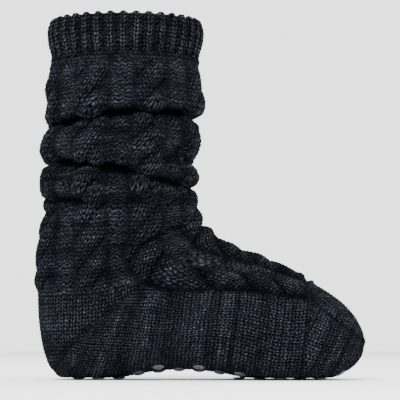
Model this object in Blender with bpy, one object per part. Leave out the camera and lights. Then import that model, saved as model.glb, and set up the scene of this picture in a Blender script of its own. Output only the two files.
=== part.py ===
"""A knitted slipper sock, standing empty on the grip dots under its sole."""

import math

import bmesh
import bpy
import numpy as np
from mathutils import Matrix, Vector
from mathutils.bvhtree import BVHTree

# Driving sizes, in metres
FOOT_LENGTH = 0.252
BALL_WIDTH = 0.103
INSTEP_HEIGHT = 0.108
SHAFT_HEIGHT = 0.279
ANKLE_TOP = 0.130
LEG_DEPTH = 0.123
LEG_WIDTH = 0.117
LEG_CENTRE = 0.0660
WALL = 0.0045
CUFF_HEIGHT = 0.030
RIB_DEPTH = 0.0024
CABLE_RISE = 0.0030
CABLE_PITCH = 0.0195
SEAM_RISE = 0.0026
FOLD_SCALE = 1.0

# Grip dots under the sole
GRIP_DIAMETER = 0.0095
GRIP_HEIGHT = 0.0013
GRIP_GAP = 0.0003
GRIP_SPACING = 0.0200
GRIP_ROW_PITCH = 0.0155
GRIP_FIRST_ROW = 0.0315
GRIP_TOE_MARGIN = 0.0150
GRIP_SIDES = 9

# How finely the knit is faceted
WALES = 72
INNER_WALES = 24
REPEAT_WALES = 9
CABLE_WALES = 5

# The pattern's own sizes in millimetres, which the driving sizes stretch
PATTERN_LENGTH = 252.0
PATTERN_WIDTH = 103.0
PATTERN_INSTEP = 108.0
PATTERN_SHAFT = 279.0
PATTERN_ANKLE = 130.0
PATTERN_DEPTH = 123.0
PATTERN_LEG_WIDTH = 117.0

# Level rings of the leg: height, depth, half width, shift of the centre to the front
LEG_RINGS = (
    (279.0, 122.0, 58.0, 1.0),
    (262.0, 118.5, 56.5, 0.6),
    (251.0, 115.5, 55.4, 0.2),
    (246.0, 117.5, 56.2, 0.0),
    (238.0, 121.5, 58.0, -0.2),
    (220.0, 123.0, 58.5, -0.4),
    (200.0, 122.0, 58.0, -1.0),
    (180.0, 121.5, 57.5, -1.8),
    (160.0, 122.0, 56.5, -2.2),
    (145.0, 122.5, 54.8, -2.0),
)

# Rings that lean into the heel and down the foot, on a foot 252 long and 108 high at the instep.
# course, sole x, sole z, top x, top z, half width, place of the widest, top fullness, sole fullness, bow
FOOT_RINGS = (
    (130.0, 2.5, 127.0, 125.5, 133.0, 52.0, 0.50, 2.05, 2.05, 0.0),
    (122.0, 0.7, 104.0, 127.2, 126.5, 49.0, 0.48, 2.05, 2.05, 0.8),
    (114.0, 0.0, 82.0, 129.2, 121.0, 47.0, 0.46, 2.05, 2.10, 2.5),
    (106.0, 0.0, 60.0, 131.5, 117.0, 46.0, 0.44, 2.05, 2.20, 5.0),
    (98.0, 1.5, 38.0, 135.0, 113.6, 45.8, 0.42, 2.05, 2.30, 8.0),
    (92.0, 5.5, 19.0, 138.5, 110.7, 46.2, 0.42, 2.00, 2.45, 10.0),
    (86.0, 12.5, 5.0, 141.5, 108.0, 46.6, 0.43, 2.00, 2.70, 10.0),
    (80.0, 24.0, -1.0, 144.5, 106.0, 47.0, 0.45, 2.00, 3.00, 9.0),
    (73.0, 40.0, -1.6, 148.5, 104.0, 47.4, 0.48, 2.00, 3.10, 6.0),
    (66.0, 60.0, 0.8, 153.5, 101.7, 47.6, 0.52, 2.00, 3.00, 3.0),
    (59.0, 80.0, 5.0, 159.5, 99.2, 47.6, 0.56, 2.00, 3.00, 1.0),
    (52.0, 100.0, 7.8, 166.5, 96.3, 47.8, 0.60, 2.00, 3.00, 0.0),
    (45.0, 120.0, 8.0, 173.5, 93.0, 48.8, 0.62, 2.00, 3.00, 0.0),
    (38.0, 140.0, 5.8, 181.0, 89.5, 50.0, 0.63, 2.00, 3.00, 0.0),
    (31.0, 159.0, 1.6, 189.0, 85.8, 51.0, 0.63, 2.00, 3.00, 0.0),
    (26.0, 174.0, -0.9, 196.5, 82.3, 51.5, 0.63, 2.05, 3.10, 0.0),
    (21.0, 187.0, -1.5, 203.5, 79.0, 51.5, 0.62, 2.10, 3.20, 0.0),
    (16.0, 200.0, -1.5, 210.5, 75.6, 50.8, 0.62, 2.20, 3.20, 0.0),
    (12.0, 212.0, -0.9, 219.5, 70.5, 48.6, 0.61, 2.25, 3.10, 0.0),
    (9.0, 223.0, 0.9, 228.5, 64.5, 45.2, 0.59, 2.25, 3.00, 0.0),
    (6.5, 232.5, 4.0, 236.5, 58.3, 40.8, 0.57, 2.25, 2.80, 0.0),
    (4.5, 240.5, 8.2, 243.0, 51.5, 35.2, 0.55, 2.20, 2.60, 0.0),
    (2.5, 246.7, 13.6, 247.8, 44.3, 28.6, 0.53, 2.20, 2.40, 0.0),
    (1.0, 250.4, 20.0, 250.8, 37.2, 22.0, 0.50, 2.20, 2.20, 0.0),
    (0.0, 251.8, 26.6, 252.0, 31.6, 16.5, 0.50, 2.20, 2.20, 0.0),
)

# Slouch folds: name, half width, course at each eighth turn from the front over the near side,
# then the depth there. A depth under zero is a roll that stands out.
FOLDS = (
    ("crease_a", 3.4, (201, 202, 201, 196, 193, 194, 197, 200), (8, 8, 9, 8, 8, 7, 7, 8)),
    ("roll_a", 7.5, (211, 211, 211, 206, 203, 204, 207, 210), (-2, -1, -1, -2, -1, -1, -1, -1)),
    ("roll_1", 10.0, (183, 184, 182, 181, 181, 180, 180, 182), (-2, -2, -3, -3, -2, -3, -3, -2)),
    ("crease_b", 4.2, (147, 150, 158, 164, 168, 163, 158, 151), (4, 7, 10, 9, 9, 8, 8, 7)),
    ("crease_front", 3.6, (165, 167, 170, 172, 172, 172, 170, 167), (5, 3, 0, 0, 0, 0, 0, 3)),
    ("roll_2", 7.0, (156, 158, 146, 150, 155, 150, 148, 158), (-2, -3, -3, -3, -3, -3, -3, -2)),
    ("crease_b_low", 3.2, (140, 141, 146, 152, 156, 152, 146, 141), (0, 0, 4, 3, 0, 0, 3, 0)),
    ("crease_c", 3.6, (131, 131, 131, 135, 142, 137, 132, 131), (0, 0, 3, 6, 6, 5, 2, 0)),
    ("crease_heel", 3.2, (122, 122, 122, 126, 131, 127, 122, 122), (0, 0, 0, 3, 5, 3, 0, 0)),
    ("crease_bend", 4.5, (113, 112, 108, 106, 106, 106, 109, 113), (2, 5, 2, 0, 0, 0, 2, 4)),
)

# Rings that the outer skin keeps, by course
OUTER_COURSES = (
    279.0, 277.5, 270.0, 262.0, 253.5, 249.5, 244.5, 238.0, 231.5, 225.0, 218.5, 212.0, 207.0,
    203.0, 199.5, 196.0, 192.0, 187.0, 182.0, 177.0, 172.0, 168.0, 164.5, 161.0, 157.5, 154.0,
    150.5, 147.0, 143.5, 140.0, 136.0, 132.0, 127.5, 122.0, 116.0, 110.0, 104.0, 98.0, 92.0,
    86.0, 80.0, 73.0, 66.0, 58.0, 49.0, 40.0, 31.0, 24.0, 19.0, 16.8, 15.4, 13.5, 10.5, 7.5,
    5.0, 2.8, 1.1, 0.0,
)
INNER_COURSES = (
    278.0, 262.0, 248.0, 232.0, 215.0, 205.0, 200.0, 196.0, 191.0, 182.0, 173.0, 167.0, 162.0,
    157.0, 152.0, 147.0, 142.0, 137.0, 131.0, 125.0, 117.0, 108.0, 98.0, 89.0, 80.0, 68.0, 54.0,
    40.0, 26.0, 14.0, 8.0, 4.0, 1.2,
)


def spline(knots, values, at):
    """Smooth values at each place, through every row of a table whose knots rise."""
    knots = np.asarray(knots, float)
    values = np.asarray(values, float)
    slopes = np.gradient(values, knots, axis=0)
    at = np.clip(np.asarray(at, float), knots[0], knots[-1])
    row = np.clip(np.searchsorted(knots, at, side="right") - 1, 0, len(knots) - 2)
    span = knots[row + 1] - knots[row]
    t = (at - knots[row]) / span
    shape = (-1,) + (1,) * (values.ndim - 1)
    t = t.reshape(shape)
    span = span.reshape(shape)
    rise = (3.0 - 2.0 * t) * t * t
    start = t * (1.0 - t) ** 2 * span
    end = t * t * (t - 1.0) * span
    low, high = values[row], values[row + 1]
    return low + (high - low) * rise + slopes[row] * start + slopes[row + 1] * end


def around(eighths, turn):
    """A value given at each eighth turn, smoothed all the way round."""
    values = np.array(eighths * 3, float)
    knots = np.arange(-8, 16) / 8.0
    return spline(knots, values, np.mod(turn, 1.0))


def ring_table():
    """One table of all rings in metres, stretched to the driving sizes."""
    long = FOOT_LENGTH / PATTERN_LENGTH
    high = INSTEP_HEIGHT / PATTERN_INSTEP
    wide = BALL_WIDTH / PATTERN_WIDTH
    rows = []
    for height, depth, half_width, shift in LEG_RINGS:
        share = (height - PATTERN_ANKLE) / (PATTERN_SHAFT - PATTERN_ANKLE)
        z = ANKLE_TOP + share * (SHAFT_HEIGHT - ANKLE_TOP)
        half_depth = 0.5 * depth * LEG_DEPTH / PATTERN_DEPTH
        centre = LEG_CENTRE + shift / 1000.0
        rows.append((
            height, centre - half_depth, z, centre + half_depth, z,
            half_width * LEG_WIDTH / PATTERN_LEG_WIDTH, 0.5, 2.08, 2.08, 0.0,
        ))
    for course, sole_x, sole_z, top_x, top_z, half_width, widest, full, sole_full, bow in FOOT_RINGS:
        rows.append((
            course, sole_x * long, sole_z * high, top_x * long, top_z * high,
            half_width * wide, widest, full, sole_full, bow / 1000.0,
        ))
    return np.array(rows[::-1], float)


def ring_at(table, courses, inset):
    """Ring values at the given courses, pulled in by the wall where inset says so."""
    rings = spline(table[:, 0], table[:, 1:], courses)
    if inset == 0.0:
        return rings
    ahead = spline(table[:, 0], table[:, 1:], np.asarray(courses) - 0.4)
    behind = spline(table[:, 0], table[:, 1:], np.asarray(courses) + 0.4)
    run = ahead - behind
    rings = rings.copy()
    for x_column, turned in ((0, -1.0), (2, 1.0)):
        step = run[:, x_column:x_column + 2]
        step = step / np.linalg.norm(step, axis=1)[:, None]
        rings[:, x_column] += inset * turned * step[:, 1]
        rings[:, x_column + 1] -= inset * turned * step[:, 0]
    rings[:, 4] -= inset
    return rings


def half_section(depth, half_width, widest, full, sole_full, shares):
    """Half of a ring, from its top to its sole, as (along, out, normal along, normal out)."""
    turn = np.linspace(0.0, 0.5 * math.pi, 121)
    sine, cosine = np.sin(turn), np.cos(turn)
    top_depth = widest * depth
    low_depth = depth - top_depth
    top = np.stack([
        top_depth * (1.0 - cosine ** (2.0 / full)),
        half_width * sine ** (2.0 / full),
    ], axis=1)
    low = np.stack([
        top_depth + low_depth * sine ** (2.0 / sole_full),
        half_width * cosine ** (2.0 / sole_full),
    ], axis=1)
    line = np.vstack([top, low[1:]])
    steps = np.linalg.norm(np.diff(line, axis=0), axis=1)
    length = np.concatenate([[0.0], np.cumsum(steps)])
    at = shares * length[-1]
    points = np.stack([np.interp(at, length, line[:, i]) for i in (0, 1)], axis=1)
    reach = 0.012 * length[-1]
    sides = []
    for shift in (-reach, reach):
        there = np.clip(at + shift, 0.0, length[-1])
        sides.append(np.stack([np.interp(there, length, line[:, i]) for i in (0, 1)], axis=1))
    run = sides[1] - sides[0]
    normal = np.stack([-run[:, 1], run[:, 0]], axis=1)
    normal[shares < 1e-9] = (-1.0, 0.0)
    normal[shares > 1.0 - 1e-9] = (1.0, 0.0)
    return points, normal / np.linalg.norm(normal, axis=1)[:, None], length[-1]


def wale_shares(count, course):
    """Where each wale lies on the half ring. The cabled front draws in along the foot."""
    wale = np.arange(count // 2 + 1) / (count // 2)
    drawn = np.clip((course - 45.0) / 60.0, 0.0, 1.0)
    panel = 0.40 + 0.10 * drawn
    front = wale * 2.0 * panel
    rest = panel + (wale - 0.5) * 2.0 * (1.0 - panel)
    return np.where(wale < 0.5, front, rest)


def fold_offset(course, turn):
    """How far the slouch folds push the knit out, in metres."""
    push = np.zeros_like(turn)
    for _, half_width, courses, depths in FOLDS:
        away = (course - around(courses, turn)) / half_width
        push -= around(depths, turn) * np.exp(-away * away)
    return FOLD_SCALE * push / 1000.0


def knit_offset(course, wale):
    """Ribs, cables and the toe seam, which stand out from the wall, in metres."""
    leg = float(np.clip((PATTERN_SHAFT - CUFF_HEIGHT * 1000.0 - course) / 4.0, 0.0, 1.0))
    rib = (0.5 - np.mod(wale, 2)) * RIB_DEPTH * (1.0 - leg)
    turn = np.minimum(wale, WALES - wale)
    in_repeat = np.mod(turn, REPEAT_WALES) - REPEAT_WALES / 2.0
    ridge = np.clip((CABLE_WALES / 2.0 + 0.6 - np.abs(in_repeat)) / 1.1, 0.0, 1.0)
    twist = 2.0 * math.pi * course / (CABLE_PITCH * 1000.0) + in_repeat * math.pi / CABLE_WALES
    cable = ridge * CABLE_RISE * (1.0 + 0.28 * np.sin(twist)) * leg
    back_end = np.where(turn <= WALES / 4.0, 17.5, 118.0)
    cable *= np.clip((course - back_end) / 5.0, 0.0, 1.0)
    top = turn <= WALES / 4.0
    seam = SEAM_RISE * np.exp(-((course - 15.4) / 1.0) ** 2) * top
    return rib + cable + seam


def ring_points(rings, courses, count, detailed):
    """Points of every ring, count to a ring, in metres."""
    rows = []
    half = count // 2
    for (sole_x, sole_z, top_x, top_z, half_width, widest, full, sole_full, bow), course in zip(
        rings, courses
    ):
        top = np.array([top_x, top_z])
        down = np.array([sole_x, sole_z]) - top
        depth = np.linalg.norm(down)
        down = down / depth
        aside = np.array([down[1], -down[0]])
        shares = wale_shares(count, course)
        points, normal, _ = half_section(depth, half_width, widest, full, sole_full, shares)
        index = np.concatenate([np.arange(half + 1), np.arange(half - 1, 0, -1)])
        side = np.concatenate([-np.ones(half + 1), np.ones(half - 1)])
        wale = np.arange(count)
        push = fold_offset(course, wale / count)
        if detailed:
            push = push + knit_offset(course, wale)
        along = points[index, 0] + push * normal[index, 0]
        out = points[index, 1] + push * normal[index, 1]
        lift = bow * points[index, 1] / half_width
        x = top[0] + down[0] * along + aside[0] * lift
        z = top[1] + down[1] * along + aside[1] * lift
        rows.append(np.stack([x, side * out, z], axis=1))
    return np.array(rows)


def rim_scallop(rows):
    """Ribs round the rim: each raised rib also stands a little higher."""
    wale = np.arange(rows.shape[1])
    rows[0, :, 2] += 0.25 * RIB_DEPTH * (1.0 - 2.0 * np.mod(wale, 2))
    centre = rows[0].mean(axis=0)
    inward = centre - rows[0]
    inward[:, 2] = 0.0
    inward /= np.linalg.norm(inward, axis=1)[:, None]
    rows[0] += inward * 0.4 * WALL
    return rows


def flat_sole(rows, floor):
    """Presses the sole flat on one level, as far as it would sink below it."""
    rows[:, :, 2] = np.maximum(rows[:, :, 2], floor)
    return rows


def bridge(faces, first, second, first_count, second_count):
    """Triangles between two rings, where the first has a whole number of points for each of the second."""
    ratio = first_count // second_count
    for j in range(second_count):
        k = (j + 1) % second_count
        base = j * ratio
        middle = base + (ratio + 1) // 2
        for i in range(base, base + ratio):
            apex = second + (j if i < middle else k)
            faces.append((first + i, first + (i + 1) % first_count, apex))
        faces.append((first + middle % first_count, second + k, second + j))


def skin(faces, start, rings, count, flipped):
    """Quads between neighbouring rings, then the cap that closes the toe along its line."""
    for i in range(rings - 1):
        for j in range(count):
            a = start + i * count + j
            b = start + i * count + (j + 1) % count
            face = (a, b, b + count, a + count)
            faces.append(face if not flipped else face[::-1])
    last = start + (rings - 1) * count
    half = count // 2
    for side in (1, -1):
        for j in range(half // 2):
            corners = [j, j + 1, half - j - 1, half - j]
            if corners[1] == corners[2]:
                corners = corners[:2] + corners[3:]
            face = tuple(last + (side * c) % count for c in corners)
            faces.append(face if (side == 1) != flipped else face[::-1])


def material(name, colour, roughness):
    made = bpy.data.materials.new(name)
    made.use_nodes = True
    shader = made.node_tree.nodes["Principled BSDF"]
    shader.inputs["Base Color"].default_value = (*colour, 1.0)
    shader.inputs["Roughness"].default_value = roughness
    shader.inputs["Metallic"].default_value = 0.0
    made.diffuse_color = (*colour, 1.0)
    return made


def keep(name, mesh, finish, collection):
    obj = bpy.data.objects.new(name, mesh)
    collection.objects.link(obj)
    mesh.materials.append(finish)
    return obj


def knit_mesh():
    """The whole knit as one hollow solid: outer skin, inner skin and a rim between them."""
    table = ring_table()
    outer_courses = np.array(OUTER_COURSES)
    outer = ring_points(ring_at(table, outer_courses, 0.0), outer_courses, WALES, True)
    outer = rim_scallop(flat_sole(outer, GRIP_HEIGHT + GRIP_GAP))
    inner_courses = np.array(INNER_COURSES)
    inner = ring_points(ring_at(table, inner_courses, WALL), inner_courses, INNER_WALES, False)
    inner = flat_sole(inner, GRIP_HEIGHT + GRIP_GAP + WALL)
    faces = []
    skin(faces, 0, len(outer), WALES, False)
    inner_start = outer.shape[0] * WALES
    skin(faces, inner_start, len(inner), INNER_WALES, True)
    bridge(faces, 0, inner_start, WALES, INNER_WALES)
    points = np.vstack([outer.reshape(-1, 3), inner.reshape(-1, 3)])
    low = outer.reshape(-1, 3).min(axis=0)
    high = outer.reshape(-1, 3).max(axis=0)
    middle = 0.5 * (low + high)
    points[:, :2] -= middle[:2]
    mesh = bpy.data.meshes.new("sock_knit")
    mesh.from_pydata([tuple(p) for p in points], [], faces)
    body = bmesh.new()
    body.from_mesh(mesh)
    bmesh.ops.triangulate(body, faces=body.faces[:])
    bmesh.ops.recalc_face_normals(body, faces=body.faces[:])
    body.to_mesh(mesh)
    body.free()
    for polygon in mesh.polygons:
        polygon.use_smooth = True
    return mesh, middle


def grip_places():
    """Course direction and side distance of each grip dot, row by row from the heel."""
    rows = int((FOOT_LENGTH - GRIP_FIRST_ROW - GRIP_TOE_MARGIN) / GRIP_ROW_PITCH) + 1
    places = []
    for row in range(rows):
        x = GRIP_FIRST_ROW + row * GRIP_ROW_PITCH
        if row in (0, 2):
            across = (-0.5, 0.5)
        elif row % 2:
            across = (-1.0, 0.0, 1.0)
        else:
            across = (-1.5, -0.5, 0.5, 1.5)
        places += [(x, side * GRIP_SPACING) for side in across]
    return places


def sole_point(tree, x, out):
    """The spot under the sole that lies a given distance out, measured along the knit."""
    step = GRIP_SPACING / 40.0 * (1.0 if out >= 0.0 else -1.0)
    place, normal, _, _ = tree.ray_cast(Vector((x, 0.0, -0.05)), Vector((0.0, 0.0, 1.0)))
    for _ in range(round(abs(out) / abs(step))):
        along = Vector((0.0, -normal.z, normal.y)).normalized()
        if along.y * step < 0.0:
            along = -along
        spot = place + along * abs(step)
        place, normal, _, _ = tree.find_nearest(Vector((x, spot.y, spot.z)))
    return place, normal


def seat(tree, place, normal):
    """A flat seat over the spot. It clears the knit by the gap, and lies level by the floor."""
    radius = 0.5 * GRIP_DIAMETER
    for _ in range(2):
        turn = normal.to_track_quat("Z", "X").to_matrix()
        heights, normals = [], []
        for i in range(25):
            angle = 2.0 * math.pi * i / 12
            reach = (0.0, 0.55, 1.05)[(i + 11) // 12]
            spot = place + turn @ Vector((math.cos(angle), math.sin(angle), 0.0)) * radius * reach
            hit, facing, _, _ = tree.ray_cast(spot + normal * radius, -normal)
            if hit is not None:
                heights.append((hit - place).dot(normal))
                normals.append(facing)
        normal = sum(normals, Vector()).normalized()
    place = place + normal * (max(heights) + GRIP_GAP)
    dip = math.sqrt(max(0.0, 1.0 - normal.z * normal.z)) * radius
    if place.z + normal.z * GRIP_HEIGHT < dip:
        normal = Vector((0.0, 0.0, -1.0))
        place.z = GRIP_HEIGHT
    return place, normal


def grip_mesh(name, place, normal):
    """One printed drop, flat where it meets the sole and flat at its tip."""
    radius = 0.5 * GRIP_DIAMETER
    profile = ((radius, 0.0), (radius * 0.93, 0.55 * GRIP_HEIGHT), (radius * 0.66, GRIP_HEIGHT))
    turn = normal.to_track_quat("Z", "X").to_matrix().to_4x4()
    frame = Matrix.Translation(place) @ turn
    body = bmesh.new()
    rings = []
    for r, z in profile:
        ring = []
        for i in range(GRIP_SIDES):
            angle = 2.0 * math.pi * i / GRIP_SIDES
            ring.append(body.verts.new(frame @ Vector((r * math.cos(angle), r * math.sin(angle), z))))
        rings.append(ring)
    body.faces.new(rings[0][::-1])
    body.faces.new(rings[-1])
    for low, high in zip(rings, rings[1:]):
        for i in range(GRIP_SIDES):
            k = (i + 1) % GRIP_SIDES
            body.faces.new((low[i], low[k], high[k], high[i]))
    bmesh.ops.recalc_face_normals(body, faces=body.faces[:])
    mesh = bpy.data.meshes.new(name)
    body.to_mesh(mesh)
    body.free()
    return mesh


def main():
    for obj in list(bpy.data.objects):
        bpy.data.objects.remove(obj, do_unlink=True)
    parts = bpy.data.collections.new("slipper_sock")
    bpy.context.scene.collection.children.link(parts)
    yarn = material("yarn", (0.0126, 0.0152, 0.0201), 0.95)
    silicone = material("silicone", (0.150, 0.162, 0.180), 0.35)
    mesh, middle = knit_mesh()
    keep("sock_knit", mesh, yarn, parts)
    tree = BVHTree.FromPolygons(
        [v.co for v in mesh.vertices], [tuple(p.vertices) for p in mesh.polygons]
    )
    for number, (x, out) in enumerate(grip_places(), 1):
        place, normal = seat(tree, *sole_point(tree, x - middle[0], out))
        name = f"grip_{number:02d}"
        keep(name, grip_mesh(name, place, normal), silicone, parts)


main()
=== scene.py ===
import math
from functools import cache
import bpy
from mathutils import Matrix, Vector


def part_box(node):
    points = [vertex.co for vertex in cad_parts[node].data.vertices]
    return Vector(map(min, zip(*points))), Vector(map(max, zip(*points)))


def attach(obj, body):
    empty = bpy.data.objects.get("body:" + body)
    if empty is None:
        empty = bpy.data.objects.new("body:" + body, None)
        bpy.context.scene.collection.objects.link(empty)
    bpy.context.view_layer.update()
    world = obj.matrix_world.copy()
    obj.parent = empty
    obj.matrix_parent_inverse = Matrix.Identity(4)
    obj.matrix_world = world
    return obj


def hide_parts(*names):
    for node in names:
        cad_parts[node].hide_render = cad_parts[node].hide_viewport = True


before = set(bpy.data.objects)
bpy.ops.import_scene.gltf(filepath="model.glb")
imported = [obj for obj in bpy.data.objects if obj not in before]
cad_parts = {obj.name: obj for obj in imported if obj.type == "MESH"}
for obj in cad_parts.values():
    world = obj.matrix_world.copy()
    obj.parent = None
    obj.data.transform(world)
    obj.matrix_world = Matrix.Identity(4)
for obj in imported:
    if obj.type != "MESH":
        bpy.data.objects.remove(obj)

from types import SimpleNamespace

import bpy
import numpy as np
from bpy.props import FloatProperty, FloatVectorProperty, IntProperty, PointerProperty
from bpy.types import Operator, Panel, PropertyGroup
from mathutils import Vector

bl_info = {
    "name": "Slipper sock",
    "version": (1, 0, 0),
    "blender": (4, 5, 0),
    "location": "View3D > Sidebar > Sock",
    "description": "Knits a slouching slipper sock with grip dots round its CAD frame",
    "category": "Object",
}

MM = 0.001

# Wales are counted from the middle of the front, over the near side. Rings are numbered by their
# height in millimetres on the leg, and on down to 0 at the end of the toe.
WALES = 72
HALF_ROUND = WALES / 2
STEPS = 6
COLUMNS = WALES * STEPS
ALL_ROUND = np.arange(COLUMNS)
COLUMN_WALES = ALL_ROUND / STEPS
# One grid point in so many is kept for the lining, which ends at this ring in the toe
LINING_SKIP = 4
LINING_END = 3.0
# How much thicker the wall is where the plush is full, as a share
PLUSH_SHARE = 0.35

# Wales in a repeat of cable and purl, and half the width of its cable
REPEAT = 9.0
HALF_CABLE = 2.6
# Courses from one crossing to the next, on the leg and on the foot
CABLE_PERIOD = 8.2
FOOT_CABLE_PERIOD = 6.7
# Height of a course and, on the foot, width of a wale, in millimetres
COURSE = 2.95
FOOT_WALE = 5.0
# How far a loop's legs slant and how far a purl bar waves, in courses
LOOP_SLANT = 0.62
BAR_WAVE = 0.22

# Rings where the cuff is at its full, the leg ends, the heel turns and the toe's seam lies
CUFF_FULL = 249.5
LEG_END = 130.0
HEEL_TURN = 86.0
SEAM_COURSE = 15.4
TOP_RING = 277.2
# Ring numbers given to the rows of the collar's rim and to those that close the toe
RIM_RING = 280.0
CAP_RING = -1.0
# Rings where the courses of the ankle start to fan out, and where they run side by side again
FAN_TOP = 134.0
FAN_END = 80.0
# Height that the cables of the heel fade out at, in millimetres
HEEL_TOP = 64.0
# Wales from the front's middle to the edge of the cabled panel, and those of the toe's two halves
EAR = 18
TOE_TOP_WALES = 8.0
TOE_SOLE_WALES = 19.0

# Share of the half girth that the cabled panel takes, at some rings
PANEL_AT = (0.0, 16.0, 31.0, 52.0, 80.0, 105.0)
PANEL_SHARE = (0.26, 0.28, 0.31, 0.345, 0.41, 0.50)

# Level rings of the leg in millimetres: height, depth, half width, shift of the centre to the front
LEG_RINGS = (
    (279.0, 122.0, 58.0, 1.0),
    (262.0, 118.5, 56.5, 0.6),
    (251.0, 113.0, 54.8, 0.5),
    (246.0, 113.0, 54.8, 0.5),
    (238.0, 116.0, 56.2, 0.6),
    (220.0, 118.0, 57.0, 0.6),
    (200.0, 115.0, 56.0, -0.8),
    (180.0, 114.5, 55.5, -3.2),
    (160.0, 115.5, 54.5, -4.0),
    (145.0, 117.0, 53.5, -3.4),
)
LEG_CENTRE = 66.0
LEG_FULLNESS = 2.08

# Rings that lean into the heel and down the foot, in millimetres: number, sole x, sole z, top x, top z,
# half width, place of the widest, top fullness, sole fullness, bow
FOOT_RINGS = (
    (130.0, 2.8, 127.0, 122.0, 133.0, 51.5, 0.50, 2.05, 2.05, 0.0),
    (122.0, 0.9, 104.0, 124.8, 126.5, 49.0, 0.48, 2.05, 2.05, 0.8),
    (114.0, 0.0, 82.0, 127.8, 121.0, 47.0, 0.46, 2.05, 2.10, 2.5),
    (106.0, 0.0, 60.0, 130.8, 117.0, 46.0, 0.44, 2.05, 2.20, 5.0),
    (98.0, 1.5, 38.0, 135.0, 113.6, 45.8, 0.42, 2.05, 2.30, 8.0),
    (92.0, 5.5, 19.0, 138.5, 110.7, 46.2, 0.42, 2.00, 2.45, 10.0),
    (86.0, 12.5, 5.0, 141.5, 108.0, 46.6, 0.43, 2.00, 2.70, 10.0),
    (80.0, 24.0, -1.0, 144.5, 106.0, 47.0, 0.45, 2.00, 3.00, 9.0),
    (73.0, 40.0, -1.6, 148.5, 104.0, 47.4, 0.48, 2.00, 3.10, 6.0),
    (66.0, 60.0, 0.8, 153.5, 101.7, 47.6, 0.52, 2.00, 3.00, 3.0),
    (59.0, 80.0, 5.0, 159.5, 99.2, 47.6, 0.56, 2.00, 3.00, 1.0),
    (52.0, 100.0, 7.8, 166.5, 96.3, 47.8, 0.60, 2.00, 3.00, 0.0),
    (45.0, 120.0, 8.0, 173.5, 93.0, 48.8, 0.62, 2.00, 3.00, 0.0),
    (38.0, 140.0, 5.8, 181.0, 89.5, 50.0, 0.63, 2.00, 3.00, 0.0),
    (31.0, 159.0, 1.6, 189.0, 85.8, 51.0, 0.63, 2.00, 3.00, 0.0),
    (26.0, 174.0, -0.9, 196.5, 82.3, 51.5, 0.63, 2.05, 3.10, 0.0),
    (21.0, 187.0, -1.5, 203.5, 79.0, 51.5, 0.62, 2.10, 3.20, 0.0),
    (16.0, 200.0, -1.5, 210.5, 75.6, 50.8, 0.62, 2.20, 3.20, 0.0),
    (12.0, 212.0, -0.9, 219.5, 70.5, 48.6, 0.61, 2.25, 3.10, 0.0),
    (9.0, 223.0, 0.9, 228.5, 64.5, 45.2, 0.59, 2.25, 3.00, 0.0),
    (6.5, 232.5, 4.0, 236.5, 58.3, 40.8, 0.57, 2.25, 2.80, 0.0),
    (4.5, 240.5, 8.2, 243.0, 51.5, 35.2, 0.55, 2.20, 2.60, 0.0),
    (2.5, 246.7, 13.6, 247.8, 44.3, 28.6, 0.53, 2.20, 2.40, 0.0),
    (1.0, 250.4, 20.0, 250.8, 37.2, 22.0, 0.50, 2.20, 2.20, 0.0),
    (0.0, 251.8, 26.6, 252.0, 31.6, 16.5, 0.50, 2.20, 2.20, 0.0),
)
TOE_END = FOOT_RINGS[-1][3]
SOLE_LEVEL = 1.6
INNER_SOLE = SOLE_LEVEL + 4.0

# Half sizes of the ankle, and half width, centre's height and mean radius of the heel, in millimetres
ANKLE_HALF_WIDTH = 50.0
ANKLE_HALF_DEPTH = 62.0
HEEL_HALF_WIDTH = 47.0
HEEL_CENTRE = 46.0
HEEL_RADIUS = 52.0

# Slouch folds: half width, ring at each eighth turn from the front over the near side, depth there.
# A depth under zero is a roll that stands out.
FOLDS = (
    (4.2, (201, 202, 201, 196, 193, 194, 197, 200), (12, 11, 11, 11, 12, 10, 9, 11)),
    (7.5, (211, 211, 211, 206, 203, 204, 207, 210), (-2, -1, -1, -2, -1, -1, -1, -1)),
    (10.0, (183, 184, 182, 181, 181, 180, 180, 182), (-2, -2, -3, -3, -2, -3, -3, -2)),
    (4.8, (147, 150, 158, 164, 168, 163, 158, 151), (7, 9, 12, 11, 13, 10, 10, 9)),
    (3.6, (165, 167, 170, 172, 172, 172, 170, 167), (5, 3, 0, 0, 0, 0, 0, 3)),
    (7.0, (156, 158, 146, 150, 155, 150, 148, 158), (-2, -3, -3, -3, -3, -3, -3, -2)),
    (3.2, (140, 141, 146, 152, 156, 152, 146, 141), (0, 0, 4, 3, 0, 0, 3, 0)),
    (3.6, (131, 131, 131, 135, 142, 137, 132, 131), (0, 0, 3, 6, 6, 5, 2, 0)),
    (3.2, (122, 122, 122, 126, 131, 127, 122, 122), (0, 0, 0, 3, 5, 3, 0, 0)),
    (4.5, (113, 112, 108, 106, 106, 106, 109, 113), (2, 5, 2, 0, 0, 0, 2, 4)),
)

# How far a course of the heel leans: its height, its slope, and how far forward it starts to lean
HEEL_LEAN_AT = (60.0, 127.0)
HEEL_LEAN = (0.54, 0.08)
HEEL_BEND = 58.0

# How far a course on the side of the foot leans: where it meets the sole, its slope
LEAN_AT = (0.0, 30.0, 60.0, 80.0, 100.0, 120.0, 140.0, 159.0, 174.0, 187.0, 200.0, 212.0, 252.0)
LEAN = (0.80, 0.54, 0.26, 0.16, 0.12, 0.12, 0.13, 0.13, 0.13, 0.13, 0.12, 0.10, 0.0)

# Puckers of the slack leg: their width in wales, their height in rings, how far they swell and sink
PUCKER_WALES = 3
PUCKER_RINGS = 13.0
PUCKER_SWELL = 1.2
PUCKER_SINK = 1.9
# The collar's edge rounds inwards above a ring, by so many millimetres at the top
COLLAR_START = 269.0
COLLAR_TURN = 2.2

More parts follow.
